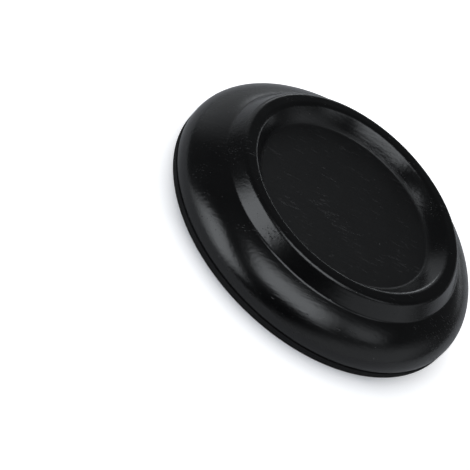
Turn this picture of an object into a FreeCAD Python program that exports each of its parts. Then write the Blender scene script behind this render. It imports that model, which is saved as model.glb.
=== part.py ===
import FreeCAD, Part
import math
import os
import Sketcher

# Castor cup: a turned, black lacquered wooden cup with a thin anti-slip pad glued under it.
# Millimetres, +Z up, the pad's underside on z = 0 and the turning axis on the Z axis.

# Whole cup
overall_height = 23.0
body_radius = 65.0

# Skirt: eased lower edge up to the belly, then an elliptical ovolo up to the collar's foot
base_edge_bevel = 0.7
belly_height = 4.5
skirt_width = 12.75
skirt_ellipse_reach = 32.0

# Collar: wall that leans in from its foot on the skirt to the flat rim
collar_height = 5.8
collar_lean = 4.2
rim_width = 4.85
rim_outer_round = 0.8
rim_inner_round = 3.0

# Recess for the castor wheel: broad round down from the rim, then a sloping wall to a crisp seat corner
recess_depth = 5.75
recess_lean = 5.7

# Anti-slip pad, flush with the body's side
pad_thickness = 2.6

driving_sizes = {
    "overall_height": overall_height,
    "body_radius": body_radius,
    "base_edge_bevel": base_edge_bevel,
    "belly_height": belly_height,
    "skirt_width": skirt_width,
    "skirt_ellipse_reach": skirt_ellipse_reach,
    "collar_height": collar_height,
    "collar_lean": collar_lean,
    "rim_width": rim_width,
    "rim_outer_round": rim_outer_round,
    "rim_inner_round": rim_inner_round,
    "recess_depth": recess_depth,
    "recess_lean": recess_lean,
    "pad_thickness": pad_thickness,
}

document = FreeCAD.newDocument("castor_cup")
sheet = document.addObject("Spreadsheet::Sheet", "sizes")
for row, (name, number) in enumerate(driving_sizes.items(), start=1):
    sheet.set("A" + str(row), name)
    sheet.set("B" + str(row), str(number))
    sheet.setAlias("B" + str(row), name)
document.recompute()

# A sketch curve's start, end and centre, and the sketch's own origin
START, END, CENTRE = range(1, 4)
ORIGIN = -1
UPWARD = FreeCAD.Vector(0, 0, 1)


def new_body(name):
    """A sub-part body whose label is its node name."""
    body = document.addObject("PartDesign::Body", name)
    body.Label = name
    body.Placement = FreeCAD.Placement()
    return body


def new_sketch(body, name, plane_role):
    """A sketch laid flat on one of the body's own origin planes."""
    planes = [feature for feature in body.Origin.OriginFeatures if feature.Role == plane_role]
    sketch = body.newObject("Sketcher::SketchObject", name)
    sketch.AttachmentSupport = [(planes[0], "")]
    sketch.MapMode = "FlatFace"
    return sketch


def at(radius, height):
    """A point of the turned section."""
    return FreeCAD.Vector(radius, height, 0)


def corner_arc(before, corner, after, radius):
    """A round set into a corner: its arc, and the points where it leaves the two straight stretches."""
    toward_before = (before - corner).normalize()
    toward_after = (after - corner).normalize()
    half_angle = toward_before.getAngle(toward_after) / 2
    reach = radius / math.tan(half_angle)
    first = corner + toward_before * reach
    last = corner + toward_after * reach
    bisector = (toward_before + toward_after).normalize()
    middle = corner + bisector * (radius / math.sin(half_angle) - radius)
    return Part.Arc(first, middle, last), first, last


def join(sketch, kind, first, first_end, second, second_end):
    """Let two stretches of a sketch meet, Coincident at a corner or Tangent where they run on smoothly."""
    sketch.addConstraint(Sketcher.Constraint(kind, first, first_end, second, second_end))


def on_curve(sketch, point, curve):
    """Keep a construction point on a curve or on its extension."""
    sketch.addConstraint(Sketcher.Constraint("PointOnObject", point, START, curve))


def tie(sketch, name, constraint, expression):
    """Add a dimension and tie it to the sheet."""
    index = sketch.addConstraint(constraint)
    sketch.renameConstraint(index, name)
    sketch.setExpression("Constraints." + name, expression)


def tie_radius(sketch, name, curve, value, expression):
    """Tie the radius of an arc or circle."""
    tie(sketch, name, Sketcher.Constraint("Radius", curve, value), expression)


def tie_across(sketch, name, first, first_end, second, second_end, value, expression):
    """Tie the horizontal distance from one point to another."""
    constraint = Sketcher.Constraint("DistanceX", first, first_end, second, second_end, value)
    tie(sketch, name, constraint, expression)


def tie_up(sketch, name, first, first_end, second, second_end, value, expression):
    """Tie the vertical distance from one point to another."""
    constraint = Sketcher.Constraint("DistanceY", first, first_end, second, second_end, value)
    tie(sketch, name, constraint, expression)


# Corners of the turned section, worked out from the driving sizes
foot_radius = body_radius - skirt_width
rim_radius = foot_radius - collar_lean
mouth_radius = rim_radius - rim_width
seat_radius = mouth_radius - recess_lean
foot_height = overall_height - collar_height
seat_height = overall_height - recess_depth

foot = at(foot_radius, foot_height)
rim_outer = at(rim_radius, overall_height)
rim_inner = at(mouth_radius, overall_height)
seat_edge = at(seat_radius, seat_height)
seat_middle = at(0, seat_height)
bevel_bottom = at(body_radius - base_edge_bevel, pad_thickness)

# The ovolo starts upright at the belly and reaches the collar's foot
ovolo_cosine = 1 - skirt_width / skirt_ellipse_reach
ovolo_end = math.acos(ovolo_cosine)
ovolo_rise = (foot_height - belly_height) / math.sin(ovolo_end)
ovolo_middle = at(body_radius - skirt_ellipse_reach, belly_height)
ovolo_near = at(body_radius, belly_height)
ovolo_far = ovolo_middle * 2 - ovolo_near
ovolo_ellipse = Part.Ellipse(ovolo_middle, skirt_ellipse_reach, ovolo_rise)

rim_outer_arc, collar_top, rim_start = corner_arc(foot, rim_outer, rim_inner, rim_outer_round)
rim_inner_arc, rim_end, wall_top = corner_arc(rim_outer, rim_inner, seat_edge, rim_inner_round)

# Cup body: half of its turned section, from the underside round to the axis
cup_body = new_body("cup_body")
section = new_sketch(cup_body, "cup_section", "XZ_Plane")

underside = section.addGeometry(Part.LineSegment(at(0, pad_thickness), bevel_bottom))
bevel = section.addGeometry(Part.LineSegment(bevel_bottom, ovolo_near))
ovolo = section.addGeometry(Part.ArcOfEllipse(ovolo_ellipse, 0, ovolo_end))
collar = section.addGeometry(Part.LineSegment(foot, collar_top))
outer_round = section.addGeometry(rim_outer_arc)
rim = section.addGeometry(Part.LineSegment(rim_start, rim_end))
inner_round = section.addGeometry(rim_inner_arc)
recess_wall = section.addGeometry(Part.LineSegment(wall_top, seat_edge))
seat = section.addGeometry(Part.LineSegment(seat_edge, seat_middle))
turning_axis = section.addGeometry(Part.LineSegment(seat_middle, at(0, pad_thickness)))

# Sharp corners that the two rim rounds are set into, and the ovolo's long axis
rim_corner = section.addGeometry(Part.Point(rim_outer), True)
mouth_corner = section.addGeometry(Part.Point(rim_inner), True)
ovolo_axis = section.addGeometry(Part.LineSegment(ovolo_near, ovolo_far), True)
section.addConstraint(Sketcher.Constraint("InternalAlignment:EllipseMajorDiameter", ovolo_axis, ovolo))

join(section, "Coincident", underside, END, bevel, START)
join(section, "Coincident", bevel, END, ovolo, START)
join(section, "Coincident", ovolo, END, collar, START)
join(section, "Tangent", collar, END, outer_round, START)
join(section, "Tangent", outer_round, END, rim, START)
join(section, "Tangent", rim, END, inner_round, START)
join(section, "Tangent", inner_round, END, recess_wall, START)
join(section, "Coincident", recess_wall, END, seat, START)
join(section, "Coincident", seat, END, turning_axis, START)
join(section, "Coincident", turning_axis, END, underside, START)

for level in (underside, rim, seat, ovolo_axis):
    section.addConstraint(Sketcher.Constraint("Horizontal", level))
section.addConstraint(Sketcher.Constraint("Vertical", turning_axis))
section.addConstraint(Sketcher.Constraint("Vertical", ORIGIN, START, turning_axis, END))
on_curve(section, rim_corner, collar)
on_curve(section, rim_corner, rim)
on_curve(section, mouth_corner, rim)
on_curve(section, mouth_corner, recess_wall)

# Heights above the floor
tie_up(section, "underside_up", ORIGIN, START, turning_axis, END, pad_thickness, "sizes.pad_thickness")
tie_up(section, "belly_up", ORIGIN, START, bevel, END, belly_height, "sizes.belly_height")
tie_up(section, "ovolo_up", ORIGIN, START, ovolo, CENTRE, belly_height, "sizes.belly_height")
tie_up(section, "rim_up", ORIGIN, START, rim_corner, START, overall_height, "sizes.overall_height")
tie_up(section, "collar_rise", collar, START, rim_corner, START, collar_height, "sizes.collar_height")
tie_up(section, "recess_rise", turning_axis, START, rim_corner, START, recess_depth, "sizes.recess_depth")

# Distances across, from the side inwards
tie_across(section, "side_out", ORIGIN, START, bevel, END, body_radius, "sizes.body_radius")
tie_across(section, "bevel_run", bevel, START, bevel, END, base_edge_bevel, "sizes.base_edge_bevel")
tie_across(section, "ovolo_length", ovolo_axis, END, ovolo_axis, START,
           2 * skirt_ellipse_reach, "2 * sizes.skirt_ellipse_reach")
tie_across(section, "skirt_run", collar, START, bevel, END, skirt_width, "sizes.skirt_width")
tie_across(section, "collar_run", rim_corner, START, collar, START, collar_lean, "sizes.collar_lean")
tie_across(section, "rim_run", mouth_corner, START, rim_corner, START, rim_width, "sizes.rim_width")
tie_across(section, "recess_run", seat, START, mouth_corner, START, recess_lean, "sizes.recess_lean")

tie_radius(section, "rim_outer", outer_round, rim_outer_round, "sizes.rim_outer_round")
tie_radius(section, "rim_inner", inner_round, rim_inner_round, "sizes.rim_inner_round")

turning = cup_body.newObject("PartDesign::Revolution", "cup_turning")
turning.Profile = section
turning.ReferenceAxis = (section, ["V_Axis"])
turning.Angle = 360
cup_body.Tip = turning

# Base pad: a disc cut from sheet, under the whole cup
base_pad = new_body("base_pad")
pad_outline = new_sketch(base_pad, "pad_outline", "XY_Plane")
pad_circle = pad_outline.addGeometry(Part.Circle(at(0, 0), UPWARD, body_radius))
join(pad_outline, "Coincident", pad_circle, CENTRE, ORIGIN, START)
tie_radius(pad_outline, "pad_radius", pad_circle, body_radius, "sizes.body_radius")

pad_sheet = base_pad.newObject("PartDesign::Pad", "pad_sheet")
pad_sheet.Profile = pad_outline
pad_sheet.setExpression("Length", "sizes.pad_thickness")
base_pad.Tip = pad_sheet

document.recompute()

# Nothing is written until every object and shape is sound
for item in document.Objects:
    if "Invalid" in item.State or "Error" in item.State:
        raise RuntimeError("not sound: " + item.Name + " " + str(item.State))
for sketch in (section, pad_outline):
    if not sketch.FullyConstrained:
        raise RuntimeError("not fully fixed: " + sketch.Name)

pieces = [cup_body, base_pad]
for piece in pieces:
    if piece.Shape.isNull() or not piece.Shape.isValid():
        raise RuntimeError("bad shape: " + piece.Label)

os.makedirs("parts", exist_ok=True)
for piece in pieces:
    piece.Shape.exportStep("parts/" + piece.Label + ".step")
    print(piece.Label, "volume", round(piece.Shape.Volume, 1))
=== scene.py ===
import math

import bpy
from mathutils import Matrix, Vector, noise


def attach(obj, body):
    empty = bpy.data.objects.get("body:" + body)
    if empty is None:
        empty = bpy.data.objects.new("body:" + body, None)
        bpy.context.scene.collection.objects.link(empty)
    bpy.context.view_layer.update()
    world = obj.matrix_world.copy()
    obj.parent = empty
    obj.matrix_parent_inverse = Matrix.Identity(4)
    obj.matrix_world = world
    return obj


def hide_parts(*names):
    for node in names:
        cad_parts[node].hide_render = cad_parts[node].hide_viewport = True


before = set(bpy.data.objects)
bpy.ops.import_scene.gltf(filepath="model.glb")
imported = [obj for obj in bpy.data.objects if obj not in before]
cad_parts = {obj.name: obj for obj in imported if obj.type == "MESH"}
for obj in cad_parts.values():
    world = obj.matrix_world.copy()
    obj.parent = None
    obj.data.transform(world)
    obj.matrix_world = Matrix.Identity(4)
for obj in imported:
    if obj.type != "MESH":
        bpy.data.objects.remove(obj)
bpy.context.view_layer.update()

# Sizes of the turned section, in metres
MM = 0.001
BODY_RADIUS = 65.0 * MM
OVERALL_HEIGHT = 23.0 * MM
PAD_THICKNESS = 2.6 * MM
SEAM_HEIGHT = 0.9 * MM
SEAM_DEPTH = 2.2 * MM
BELLY_HEIGHT = 4.5 * MM
SKIRT_REACH = 32.0 * MM
SKIRT_WIDTH = 12.75 * MM
COLLAR_HEIGHT = 5.8 * MM
COLLAR_LEAN = 4.2 * MM
RIM_WIDTH = 4.85 * MM
RIM_ROUND = 2.5 * MM
MOUTH_ROUND = 3.0 * MM
RECESS_DEPTH = 5.75 * MM
RECESS_LEAN = 5.7 * MM
SEAT_ROUND = 1.4 * MM
WALL_BULGE = 0.12 * MM
FOOT_ROUND = 2.0 * MM
EDGE_SOFTNESS = 0.15 * MM
PAD_ROUND = 0.5 * MM

# Radii of the collar's foot, the rim's two edges and the seat, from the sizes above
FOOT_RADIUS = BODY_RADIUS - SKIRT_WIDTH
RIM_OUTER = FOOT_RADIUS - COLLAR_LEAN
RIM_INNER = RIM_OUTER - RIM_WIDTH
SEAT_RADIUS = RIM_INNER - RECESS_LEAN

# Fineness of the turned meshes, and the waves of hand sanding
TURN_STEPS = 360
ROUND_STEPS = 12
SKIRT_STEPS = 48
FOOT_ROOM = 0.6 * FOOT_ROUND
WALL_SLOPE_SHARE = 0.7
WAVE_DEPTH = 0.03 * MM
WAVE_LENGTH = 14.0 * MM

# Direction of the wood grain, turned about the cup's axis
GRAIN_ANGLE = math.radians(26.0)
GRAIN_AXIS = (math.cos(GRAIN_ANGLE), math.sin(GRAIN_ANGLE), 0.0)

# Scales of the noise in the wood and its lacquer, the first along the grain
STREAK_SCALE = (45.0, 900.0, 900.0)
PORE_SCALE = (260.0, 1900.0, 1900.0)
CLUSTER_SCALE = (35.0, 130.0, 130.0)
FIBRE_SCALE = (170.0, 1000.0, 1000.0)
PATCH_SCALE = (70.0, 110.0, 110.0)
DUST_SCALE = (1300.0, 1300.0, 1300.0)
FILM_SCALE = (700.0, 700.0, 700.0)
HAND_SCALE = (60.0, 60.0, 60.0)

# Lacquer: its blacks and dust, its roughness, and the weights of its relief
LACQUER_DEEP = (0.0026, 0.0026, 0.0028, 1.0)
LACQUER_PALE = (0.0040, 0.0040, 0.0042, 1.0)
DUST_COLOUR = (0.16, 0.16, 0.16, 1.0)
DUST_SHARE = 0.5
LACQUER_SMOOTH = 0.165
LACQUER_ROUGH = 0.225
SEAT_ROUGHER = 0.32
PORE_ROUGHER = 0.30
STREAK_RELIEF = 0.5
FILM_RELIEF = 0.25
PORE_RELIEF = 0.22
FIBRE_RELIEF = 8.0
LACQUER_BUMP = 0.12 * MM

# Pad: its blacks, its roughness and the scales of its cells and patches
RUBBER_DEEP = (0.005, 0.005, 0.0054, 1.0)
RUBBER_PALE = (0.009, 0.009, 0.0094, 1.0)
RUBBER_SMOOTH = 0.78
RUBBER_ROUGH = 0.95
RUBBER_SPECULAR = 0.25
CELL_SCALE = (2600.0, 2600.0, 2600.0)
RUBBER_PATCH_SCALE = (90.0, 90.0, 90.0)
RUBBER_BUMP = 0.1 * MM

# Camera, which is rolled because the cup leans in the picture
PICTURE_SIZE = 470
FOCAL_PIXELS = 2000.0
SENSOR_WIDTH = 36.0
CAMERA_ELEVATION = math.radians(37.80)
CAMERA_ROLL = math.radians(43.62)
CAMERA_DISTANCE = 0.7538
CUP_RIGHT_OF_CENTRE = 0.03170
CUP_ABOVE_CENTRE = 0.00140

# Lamps, and light of the room that the lacquer mirrors: pale backdrop, table, dim rest and dark front
LAMP_DISTANCE = 1.2
LAMP_EDGE_SHARE = 0.25
BACKDROP_TURN = 172.0
BACKDROP_RISE = 54.0
ROOM_BACKDROP = 0.48
ROOM_TABLE = 0.52
TABLE_TILT = 0.35
TABLE_FAR_SHARE = 0.2
ROOM_DIM = 0.07
FRONT_SHARE = 0.1
LIGHT_COLOUR = (0.92, 0.96, 1.0, 1.0)
WHITE = (1.0, 1.0, 1.0, 1.0)

# White floor: its paint, the light that only the camera sees, and the reach of the contact shadow painted
# into that light
FLOOR_HALF = 3.0
FLOOR_PAINT = (0.80, 0.80, 0.82, 1.0)
FLOOR_GLOW = 0.66
FLOOR_GLOW_IN_PAINTED_SHADOW = 0.16 * FLOOR_GLOW
PAINTED_SHADOW_REACH = 0.012
PAINTED_SHADOW_AXIS = (0.1, -0.99, 0.0)


class Nodes:
    """Short way to add and join shader nodes in one tree."""

    def __init__(self, tree):
        self.tree = tree
        self.tree.nodes.clear()

    def add(self, kind, settings=None, **inputs):
        """Node with these settings and inputs, an underscore standing for a space."""
        node = self.tree.nodes.new(kind)
        for name, value in (settings or {}).items():
            setattr(node, name, value)
        for name, value in inputs.items():
            self.feed(node, name.replace("_", " "), value)
        return node

    def feed(self, node, name, value):
        """Join an input to another node, or set it."""
        if isinstance(value, bpy.types.NodeSocket):
            self.tree.links.new(value, node.inputs[name])
        else:
            node.inputs[name].default_value = value

    def math(self, operation, first, second):
        """Result of a sum on two values."""
        node = self.tree.nodes.new("ShaderNodeMath")
        node.operation = operation
        for place, value in enumerate((first, second)):
            self.feed(node, place, value)
        return node.outputs["Value"]

    def span(self, value, low, high, bottom, top):
        """Value moved from low..high to bottom..top, held at both ends."""
        node = self.tree.nodes.new("ShaderNodeMapRange")
        for name, number in (("From Min", low), ("From Max", high), ("To Min", bottom), ("To Max", top)):
            node.inputs[name].default_value = number
        self.feed(node, "Value", value)
        return node.outputs["Result"]

    def along(self, place, axis):
        """How far a place or direction lies along an axis."""
        node = self.add("ShaderNodeVectorMath", {"operation": "DOT_PRODUCT"}, Vector=place)
        node.inputs[1].default_value = axis
        return node.outputs["Value"]

    def place(self):
        """Place on the object."""
        return self.add("ShaderNodeTexCoord").outputs["Object"]

    def from_axis(self):
        """Distance of a place from the cup's axis."""
        flat = self.add("ShaderNodeVectorMath", {"operation": "MULTIPLY"}, Vector=self.place())
        flat.inputs[1].default_value = (1.0, 1.0, 0.0)
        length = self.add("ShaderNodeVectorMath", {"operation": "LENGTH"}, Vector=flat.outputs["Vector"])
        return length.outputs["Value"]

    def clouds(self, scale, detail, roughness=0.5):
        """Soft noise on the object, turned to the grain and stretched by this scale."""
        turned = self.add("ShaderNodeMapping", {"vector_type": "TEXTURE"}, Vector=self.place(),
                          Rotation=(0.0, 0.0, GRAIN_ANGLE))
        stretched = self.add("ShaderNodeMapping", Vector=turned.outputs["Vector"], Scale=scale)
        node = self.add("ShaderNodeTexNoise", Vector=stretched.outputs["Vector"], Scale=1.0,
                        Detail=detail, Roughness=roughness)
        return node.outputs["Fac"]

    def blend(self, share, first, second):
        """Colour between two colours, by a share."""
        node = self.add("ShaderNodeMix", {"data_type": "RGBA"}, Factor=share)
        # Sockets 6 and 7 of this node are its two colours, and its output 2 is the blended one
        self.feed(node, 6, first)
        self.feed(node, 7, second)
        return node.outputs[2]


def camera_axes():
    """Right, up and back of the camera, in the frame of the cup."""
    flat_right = Vector((1.0, 0.0, 0.0))
    flat_up = Vector((0.0, math.sin(CAMERA_ELEVATION), math.cos(CAMERA_ELEVATION)))
    right = flat_right * math.cos(CAMERA_ROLL) + flat_up * math.sin(CAMERA_ROLL)
    up = flat_up * math.cos(CAMERA_ROLL) - flat_right * math.sin(CAMERA_ROLL)
    return right, up, right.cross(up)


CAMERA_RIGHT, CAMERA_UP, CAMERA_BACK = camera_axes()


def standing(x_axis, y_axis, z_axis, place):
    """Matrix of a thing with these axes at this place."""
    matrix = Matrix((x_axis, y_axis, z_axis)).transposed().to_4x4()
    matrix.translation = place
    return matrix


def make_camera():
    """Camera that sees the cup as the picture does."""
    data = bpy.data.cameras.new("camera")
    data.sensor_fit = "HORIZONTAL"
    data.sensor_width = SENSOR_WIDTH
    data.lens = FOCAL_PIXELS * SENSOR_WIDTH / PICTURE_SIZE
    data.clip_start = 0.01
    camera = bpy.data.objects.new("camera", data)
    bpy.context.collection.objects.link(camera)
    aside = CAMERA_RIGHT * CUP_RIGHT_OF_CENTRE + CAMERA_UP * CUP_ABOVE_CENTRE
    place = CAMERA_BACK * CAMERA_DISTANCE - aside
    camera.matrix_world = standing(CAMERA_RIGHT, CAMERA_UP, CAMERA_BACK, place)
    bpy.context.scene.camera = camera


def picture_direction(turn, rise):
    """Direction from the cup, by degrees right of the camera and degrees up the picture."""
    level = math.cos(math.radians(rise))
    across = CAMERA_RIGHT * (math.sin(math.radians(turn)) * level)
    towards = CAMERA_BACK * (math.cos(math.radians(turn)) * level)
    return across + towards + CAMERA_UP * math.sin(math.radians(rise))


def faded(n, fades):
    """Level over a lamp's face that dims near the ends of its width and of its height."""
    face = n.add("ShaderNodeNewGeometry").outputs["Parametric"]
    spot = n.add("ShaderNodeSeparateXYZ", Vector=face)
    level = 1.0
    for axis, (first, last) in zip("XY", (fades[:2], fades[2:])):
        for end, inside, fade in ((0.0, first, first), (1.0, 1.0 - last, last)):
            if fade > 0.0:
                dimmed = n.span(spot.outputs[axis], end, inside, LAMP_EDGE_SHARE, 1.0)
                level = n.math("MULTIPLY", dimmed, level)
    return level


def soft_box(name, turn, rise, slant, width, height, radiance, fades):
    """Soft lamp that faces the cup, its width level in the picture or slanted by so many degrees.

    The fades are the shares over which it dims, for the two ends of its width and then of its height.
    """
    towards = picture_direction(turn, rise)
    flat = CAMERA_UP.cross(towards).normalized()
    side = Matrix.Rotation(math.radians(slant), 3, towards) @ flat
    data = bpy.data.lights.new(name, "AREA")
    data.shape = "RECTANGLE"
    data.size = width
    data.size_y = height
    data.energy = radiance * math.pi * width * height
    data.use_nodes = True
    n = Nodes(data.node_tree)
    glow = n.add("ShaderNodeEmission", Color=LIGHT_COLOUR, Strength=faded(n, fades))
    n.add("ShaderNodeOutputLight", Surface=glow.outputs["Emission"])
    lamp = bpy.data.objects.new(name, data)
    bpy.context.collection.objects.link(lamp)
    lamp.matrix_world = standing(side, towards.cross(side), towards, towards * LAMP_DISTANCE)
    lamp.visible_camera = False


def make_lamps():
    """Soft lamps in front of the cup with a dark gap between them, and two strips of light behind it."""
    soft_box("left_box", turn=-34.0, rise=22.5, slant=0.0, width=0.86, height=1.14, radiance=2.95,
             fades=(0.40, 0.12, 0.3, 0.2))
    soft_box("left_wing", turn=-66.0, rise=22.0, slant=0.0, width=0.60, height=0.90, radiance=1.0,
             fades=(0.3, 0.0, 0.3, 0.1))
    soft_box("right_box", turn=32.0, rise=18.0, slant=-40.0, width=0.96, height=0.72, radiance=2.9,
             fades=(0.15, 0.25, 0.25, 0.25))
    soft_box("right_wing", turn=66.0, rise=2.0, slant=-15.0, width=0.38, height=0.42, radiance=0.9,
             fades=(0.0, 0.3, 0.2, 0.3))
    soft_box("edge_strip", turn=137.0, rise=18.0, slant=53.0, width=0.90, height=0.09, radiance=1.3,
             fades=(0.40, 0.0, 0.0, 0.0))
    soft_box("back_strip", turn=151.0, rise=49.0, slant=0.0, width=0.13, height=0.56, radiance=1.9,
             fades=(0.0, 0.0, 0.2, 0.2))


def make_world():
    """White to the camera and a dim studio to everything else."""
    world = bpy.data.worlds.new("studio")
    world.use_nodes = True
    bpy.context.scene.world = world
    n = Nodes(world.node_tree)
    seen = n.add("ShaderNodeLightPath").outputs["Is Camera Ray"]
    direction = n.add("ShaderNodeTexCoord").outputs["Generated"]
    frontness = n.along(direction, CAMERA_BACK)
    # Backdrop behind the cup, fading round its middle
    middle = picture_direction(BACKDROP_TURN, BACKDROP_RISE)
    backdrop = n.span(n.along(direction, middle), 0.84, 0.96, ROOM_DIM, ROOM_BACKDROP)
    # Table below, fainter behind the cup
    height = n.along(direction, CAMERA_UP + CAMERA_BACK * TABLE_TILT)
    table = n.span(height, -0.24, -0.02, ROOM_TABLE, ROOM_DIM)
    table = n.math("MULTIPLY", table, n.span(frontness, -0.35, -0.02, TABLE_FAR_SHARE, 1.0))
    # Dark front, where the picture is taken from
    level = n.math("MAXIMUM", backdrop, table)
    level = n.math("MULTIPLY", level, n.span(frontness, 0.70, 0.95, 1.0, FRONT_SHARE))
    room = n.add("ShaderNodeBackground", Color=LIGHT_COLOUR, Strength=level)
    white = n.add("ShaderNodeBackground", Color=WHITE, Strength=1.0)
    light = n.add("ShaderNodeMixShader", Fac=seen)
    n.feed(light, 1, room.outputs["Background"])
    n.feed(light, 2, white.outputs["Background"])
    n.add("ShaderNodeOutputWorld", Surface=light.outputs["Shader"])


def make_floor():
    """Pale floor that looks white; its paint keeps the cup's real shadow, and a contact shadow is painted
    into its camera-only glow on its near side.
    """
    mesh = bpy.data.meshes.new("floor")
    corners = [(-FLOOR_HALF, -FLOOR_HALF, 0.0), (FLOOR_HALF, -FLOOR_HALF, 0.0),
               (FLOOR_HALF, FLOOR_HALF, 0.0), (-FLOOR_HALF, FLOOR_HALF, 0.0)]
    mesh.from_pydata(corners, [], [(0, 1, 2, 3)])
    floor = bpy.data.objects.new("floor", mesh)
    bpy.context.collection.objects.link(floor)
    material = bpy.data.materials.new("floor")
    material.use_nodes = True
    n = Nodes(material.node_tree)
    seen = n.add("ShaderNodeLightPath").outputs["Is Camera Ray"]
    paint = n.add("ShaderNodeBsdfDiffuse", Color=FLOOR_PAINT)
    open_sky = n.add("ShaderNodeAmbientOcclusion", {"samples": 16}, Distance=PAINTED_SHADOW_REACH).outputs["AO"]
    # Painted shadow: on the near side the camera-only glow is dimmed where the cup closes in the floor's
    # open sky, and on the far side the full glow hides all shadow in white
    painted_shadow_dip = n.span(open_sky, 0.60, 0.96, 1.0 - FLOOR_GLOW_IN_PAINTED_SHADOW, 1.0 - FLOOR_GLOW)
    painted_shadow_side = n.span(n.along(n.place(), PAINTED_SHADOW_AXIS), -0.02, 0.05, 0.0, 1.0)
    level = n.math("SUBTRACT", 1.0, n.math("MULTIPLY", painted_shadow_side, painted_shadow_dip))
    # Glow seen only by the camera, dimmed near the cup on the near side: a painted contact shadow
    glow = n.add("ShaderNodeEmission", Color=WHITE, Strength=n.math("MULTIPLY", seen, level))
    both = n.add("ShaderNodeAddShader")
    n.feed(both, 0, paint.outputs["BSDF"])
    n.feed(both, 1, glow.outputs["Emission"])
    n.add("ShaderNodeOutputMaterial", Surface=both.outputs["Shader"])
    mesh.materials.append(material)


def lacquered_wood():
    """Thin black satin lacquer over open-grained wood."""
    material = bpy.data.materials.new("lacquered_wood")
    material.use_nodes = True
    n = Nodes(material.node_tree)
    # Grain that shows through as long shallow streaks
    streaks = n.clouds(STREAK_SCALE, 3.0, 0.6)
    # Open pores, short and narrow pits along the grain, in clusters and where the grain runs out at one end
    pores = n.clouds(PORE_SCALE, 1.0, 0.4)
    clusters = n.clouds(CLUSTER_SCALE, 1.0)
    grain_end = n.span(n.along(n.place(), GRAIN_AXIS), 0.040, 0.060, 0.0, 0.13)
    crowd = n.math("ADD", n.math("MULTIPLY", clusters, 0.5), grain_end)
    depth = n.span(n.math("ADD", pores, crowd), 0.99, 1.06, 0.0, 1.0)
    # Dust under the lacquer and slow changes of its black
    speck = n.span(n.clouds(DUST_SCALE, 0.0), 0.86, 0.90, 0.0, 1.0)
    hand = n.clouds(HAND_SCALE, 3.0, 0.6)
    black = n.blend(n.span(hand, 0.3, 0.7, 0.0, 1.0), LACQUER_DEEP, LACQUER_PALE)
    colour = n.blend(n.math("MULTIPLY", speck, DUST_SHARE), black, DUST_COLOUR)
    # Rougher in the pores, and on the seat of the recess than on the polished rest
    seat = n.span(n.from_axis(), SEAT_RADIUS - 0.5 * MM, SEAT_RADIUS + 1.4 * MM, SEAT_ROUGHER, 0.0)
    gloss = n.math("ADD", n.span(hand, 0.25, 0.75, LACQUER_SMOOTH, LACQUER_ROUGH), seat)
    gloss = n.math("ADD", gloss, n.math("MULTIPLY", depth, PORE_ROUGHER))
    # Streaks and a fine unevenness of the lacquer raise it, and pores sink it
    film = n.clouds(FILM_SCALE, 2.0)
    relief = n.math("ADD", n.math("MULTIPLY", streaks, STREAK_RELIEF), n.math("MULTIPLY", film, FILM_RELIEF))
    relief = n.math("SUBTRACT", relief, n.math("MULTIPLY", depth, PORE_RELIEF))
    # Torn grain on the seat, in loose patches
    fibres = n.clouds(FIBRE_SCALE, 3.0, 0.6)
    patches = n.clouds(PATCH_SCALE, 2.0)
    furrows = n.span(n.math("ADD", fibres, n.math("MULTIPLY", patches, 0.6)), 0.95, 1.12, 0.0, 1.0)
    torn = n.math("MULTIPLY", n.math("MULTIPLY", furrows, seat), FIBRE_RELIEF)
    relief = n.math("SUBTRACT", relief, torn)
    bump = n.add("ShaderNodeBump", Height=relief, Strength=0.8, Distance=LACQUER_BUMP)
    shader = n.add("ShaderNodeBsdfPrincipled", Base_Color=colour, Roughness=gloss,
                   Normal=bump.outputs["Normal"])
    n.add("ShaderNodeOutputMaterial", Surface=shader.outputs["BSDF"])
    return material


def pad_rubber():
    """Matt black foam rubber sheet with a fine even grain."""
    material = bpy.data.materials.new("pad_rubber")
    material.use_nodes = True
    n = Nodes(material.node_tree)
    cells = n.clouds(CELL_SCALE, 2.0, 0.6)
    patches = n.clouds(RUBBER_PATCH_SCALE, 2.0)
    colour = n.blend(n.span(patches, 0.3, 0.7, 0.0, 1.0), RUBBER_DEEP, RUBBER_PALE)
    bump = n.add("ShaderNodeBump", Height=cells, Strength=0.7, Distance=RUBBER_BUMP)
    shader = n.add("ShaderNodeBsdfPrincipled", Base_Color=colour,
                   Roughness=n.span(cells, 0.3, 0.7, RUBBER_SMOOTH, RUBBER_ROUGH),
                   Specular_IOR_Level=RUBBER_SPECULAR, Normal=bump.outputs["Normal"])
    n.add("ShaderNodeOutputMaterial", Surface=shader.outputs["BSDF"])
    return material


def run(start, end, steps):
    """Points of a straight run, closer together at its two ends, without the last one."""
    reach = math.dist(start, end)
    hold = min(EDGE_SOFTNESS, reach / 4) / reach
    shares = [0.0, hold] + [hold + (1 - 2 * hold) * k / steps for k in range(1, steps)] + [1 - hold]
    return [(start[0] + (end[0] - start[0]) * s, start[1] + (end[1] - start[1]) * s) for s in shares]


def bend(centre, radius, first, last, steps):
    """Points of a round from one angle to another, without the last one."""
    angles = [first + (last - first) * k / steps for k in range(steps)]
    return [(centre[0] + radius * math.cos(a), centre[1] + radius * math.sin(a)) for a in angles]


def round_corner(before, corner, after, radius, steps):
    """Points of a round that takes the place of a corner, and the two ends of that round."""
    here = Vector(corner)
    back = (Vector(before) - here).normalized()
    ahead = (Vector(after) - here).normalized()
    half = back.angle(ahead) / 2
    centre = here + (back + ahead).normalized() * (radius / math.sin(half))
    enter = here + back * (radius / math.tan(half))
    leave = here + ahead * (radius / math.tan(half))
    first = math.atan2(enter.y - centre.y, enter.x - centre.x)
    swing = math.remainder(math.atan2(leave.y - centre.y, leave.x - centre.x) - first, math.tau)
    points = bend(centre, radius, first, first + swing, steps)
    return points, tuple(enter), tuple(leave)


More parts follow.
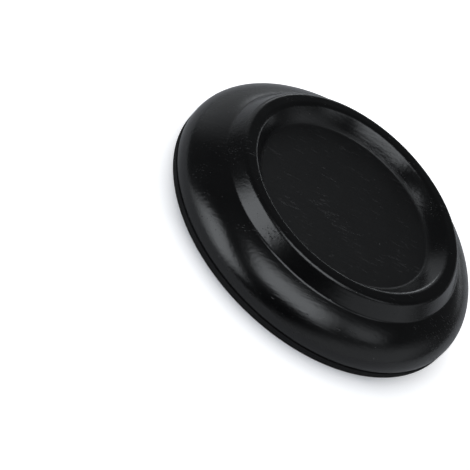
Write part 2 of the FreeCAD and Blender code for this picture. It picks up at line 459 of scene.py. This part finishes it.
def joined(corners):
    """Section through corners, each given with its round and the steps of the run up to it."""
    points = []
    start = corners[0][0]
    for index in range(1, len(corners) - 1):
        corner, radius, steps = corners[index]
        after = corners[index + 1][0]
        arc, enter, leave = round_corner(start, corner, after, radius, ROUND_STEPS)
        points += run(start, enter, steps) + arc
        start = leave
    points += run(start, corners[-1][0], corners[-1][2])
    return points + [corners[-1][0]]


def bulged(point, top, foot):
    """Point of the recess wall moved inwards and up, most in the middle of the wall."""
    share = (point[1] - foot[1]) / (top[1] - foot[1])
    if not (foot[0] < point[0] < top[0] and 0.0 < share < 1.0):
        return point
    lift = WALL_BULGE * WALL_SLOPE_SHARE * math.sin(math.pi * share)
    # The upward part swells from nothing at both ends of the wall
    swell = 4.0 * share * (1.0 - share)
    return (point[0] - lift, point[1] + lift * swell)


def skirt_points(foot_height):
    """Points of the elliptical skirt, from just above the belly to just short of the collar's foot."""
    end_angle = math.acos(1 - SKIRT_WIDTH / SKIRT_REACH)
    rise = (foot_height - BELLY_HEIGHT) / math.sin(end_angle)
    centre = BODY_RADIUS - SKIRT_REACH
    points = []
    for k in range(1, SKIRT_STEPS):
        angle = end_angle * k / SKIRT_STEPS
        radius = centre + SKIRT_REACH * math.cos(angle)
        if radius >= FOOT_RADIUS + FOOT_ROOM:
            points.append((radius, BELLY_HEIGHT + rise * math.sin(angle)))
    return points


def cup_section():
    """Half section of the cup, from the middle of its underside round to the middle of its seat."""
    foot_height = OVERALL_HEIGHT - COLLAR_HEIGHT
    wall_top = (RIM_INNER, OVERALL_HEIGHT)
    wall_foot = (SEAT_RADIUS, OVERALL_HEIGHT - RECESS_DEPTH)
    base = joined([
        ((0.0, PAD_THICKNESS), 0.0, 0),
        ((BODY_RADIUS - SEAM_DEPTH, PAD_THICKNESS), EDGE_SOFTNESS, 12),
        ((BODY_RADIUS, PAD_THICKNESS + SEAM_HEIGHT), EDGE_SOFTNESS, 4),
        ((BODY_RADIUS, BELLY_HEIGHT), 0.0, 2),
    ])
    skirt = skirt_points(foot_height)
    top = joined([
        (skirt[-1], 0.0, 0),
        ((FOOT_RADIUS, foot_height), FOOT_ROUND, 1),
        ((RIM_OUTER, OVERALL_HEIGHT), RIM_ROUND, 12),
        (wall_top, MOUTH_ROUND, 6),
        (wall_foot, SEAT_ROUND, 24),
        ((0.0, wall_foot[1]), 0.0, 40),
    ])
    return base + skirt[:-1] + [bulged(point, wall_top, wall_foot) for point in top]


def pad_section():
    """Half section of the pad, from the middle of its underside to the middle of its top."""
    return joined([
        ((0.0, 0.0), 0.0, 0),
        ((BODY_RADIUS, 0.0), PAD_ROUND, 12),
        ((BODY_RADIUS, PAD_THICKNESS), EDGE_SOFTNESS, 4),
        ((0.0, PAD_THICKNESS), 0.0, 12),
    ])


def turned(name, section):
    """Closed mesh of a section turned about the cup's axis, with the slight waves of hand sanding."""
    middle = section[1:-1]
    points = [Vector((0.0, 0.0, section[0][1]))]
    faces = []
    for step in range(TURN_STEPS):
        angle = math.tau * step / TURN_STEPS
        for radius, height in middle:
            point = Vector((radius * math.cos(angle), radius * math.sin(angle), height))
            wave = WAVE_DEPTH * (0.5 + 0.5 * noise.noise(point / WAVE_LENGTH))
            points.append(point - Vector((point.x, point.y, 0.0)).normalized() * wave)
    points.append(Vector((0.0, 0.0, section[-1][1])))
    rows = len(middle)
    for step in range(TURN_STEPS):
        here = 1 + step * rows
        there = 1 + (step + 1) % TURN_STEPS * rows
        faces.append((0, there, here))
        for k in range(rows - 1):
            faces.append((here + k, there + k, there + k + 1, here + k + 1))
        faces.append((here + rows - 1, there + rows - 1, len(points) - 1))
    mesh = bpy.data.meshes.new(name)
    mesh.from_pydata(points, [], faces)
    mesh.shade_smooth()
    piece = bpy.data.objects.new(name, mesh)
    bpy.context.collection.objects.link(piece)
    return piece


def dress(piece, node, material):
    """Let a piece stand for a CAD node, ride on the part and take its finish."""
    piece.data.materials.append(material)
    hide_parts(node)
    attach(piece, "root")


bpy.context.scene.view_settings.view_transform = "Standard"
make_camera()
make_world()
make_lamps()
make_floor()
dress(turned("cup", cup_section()), "cup_body", lacquered_wood())
dress(turned("pad", pad_section()), "base_pad", pad_rubber())
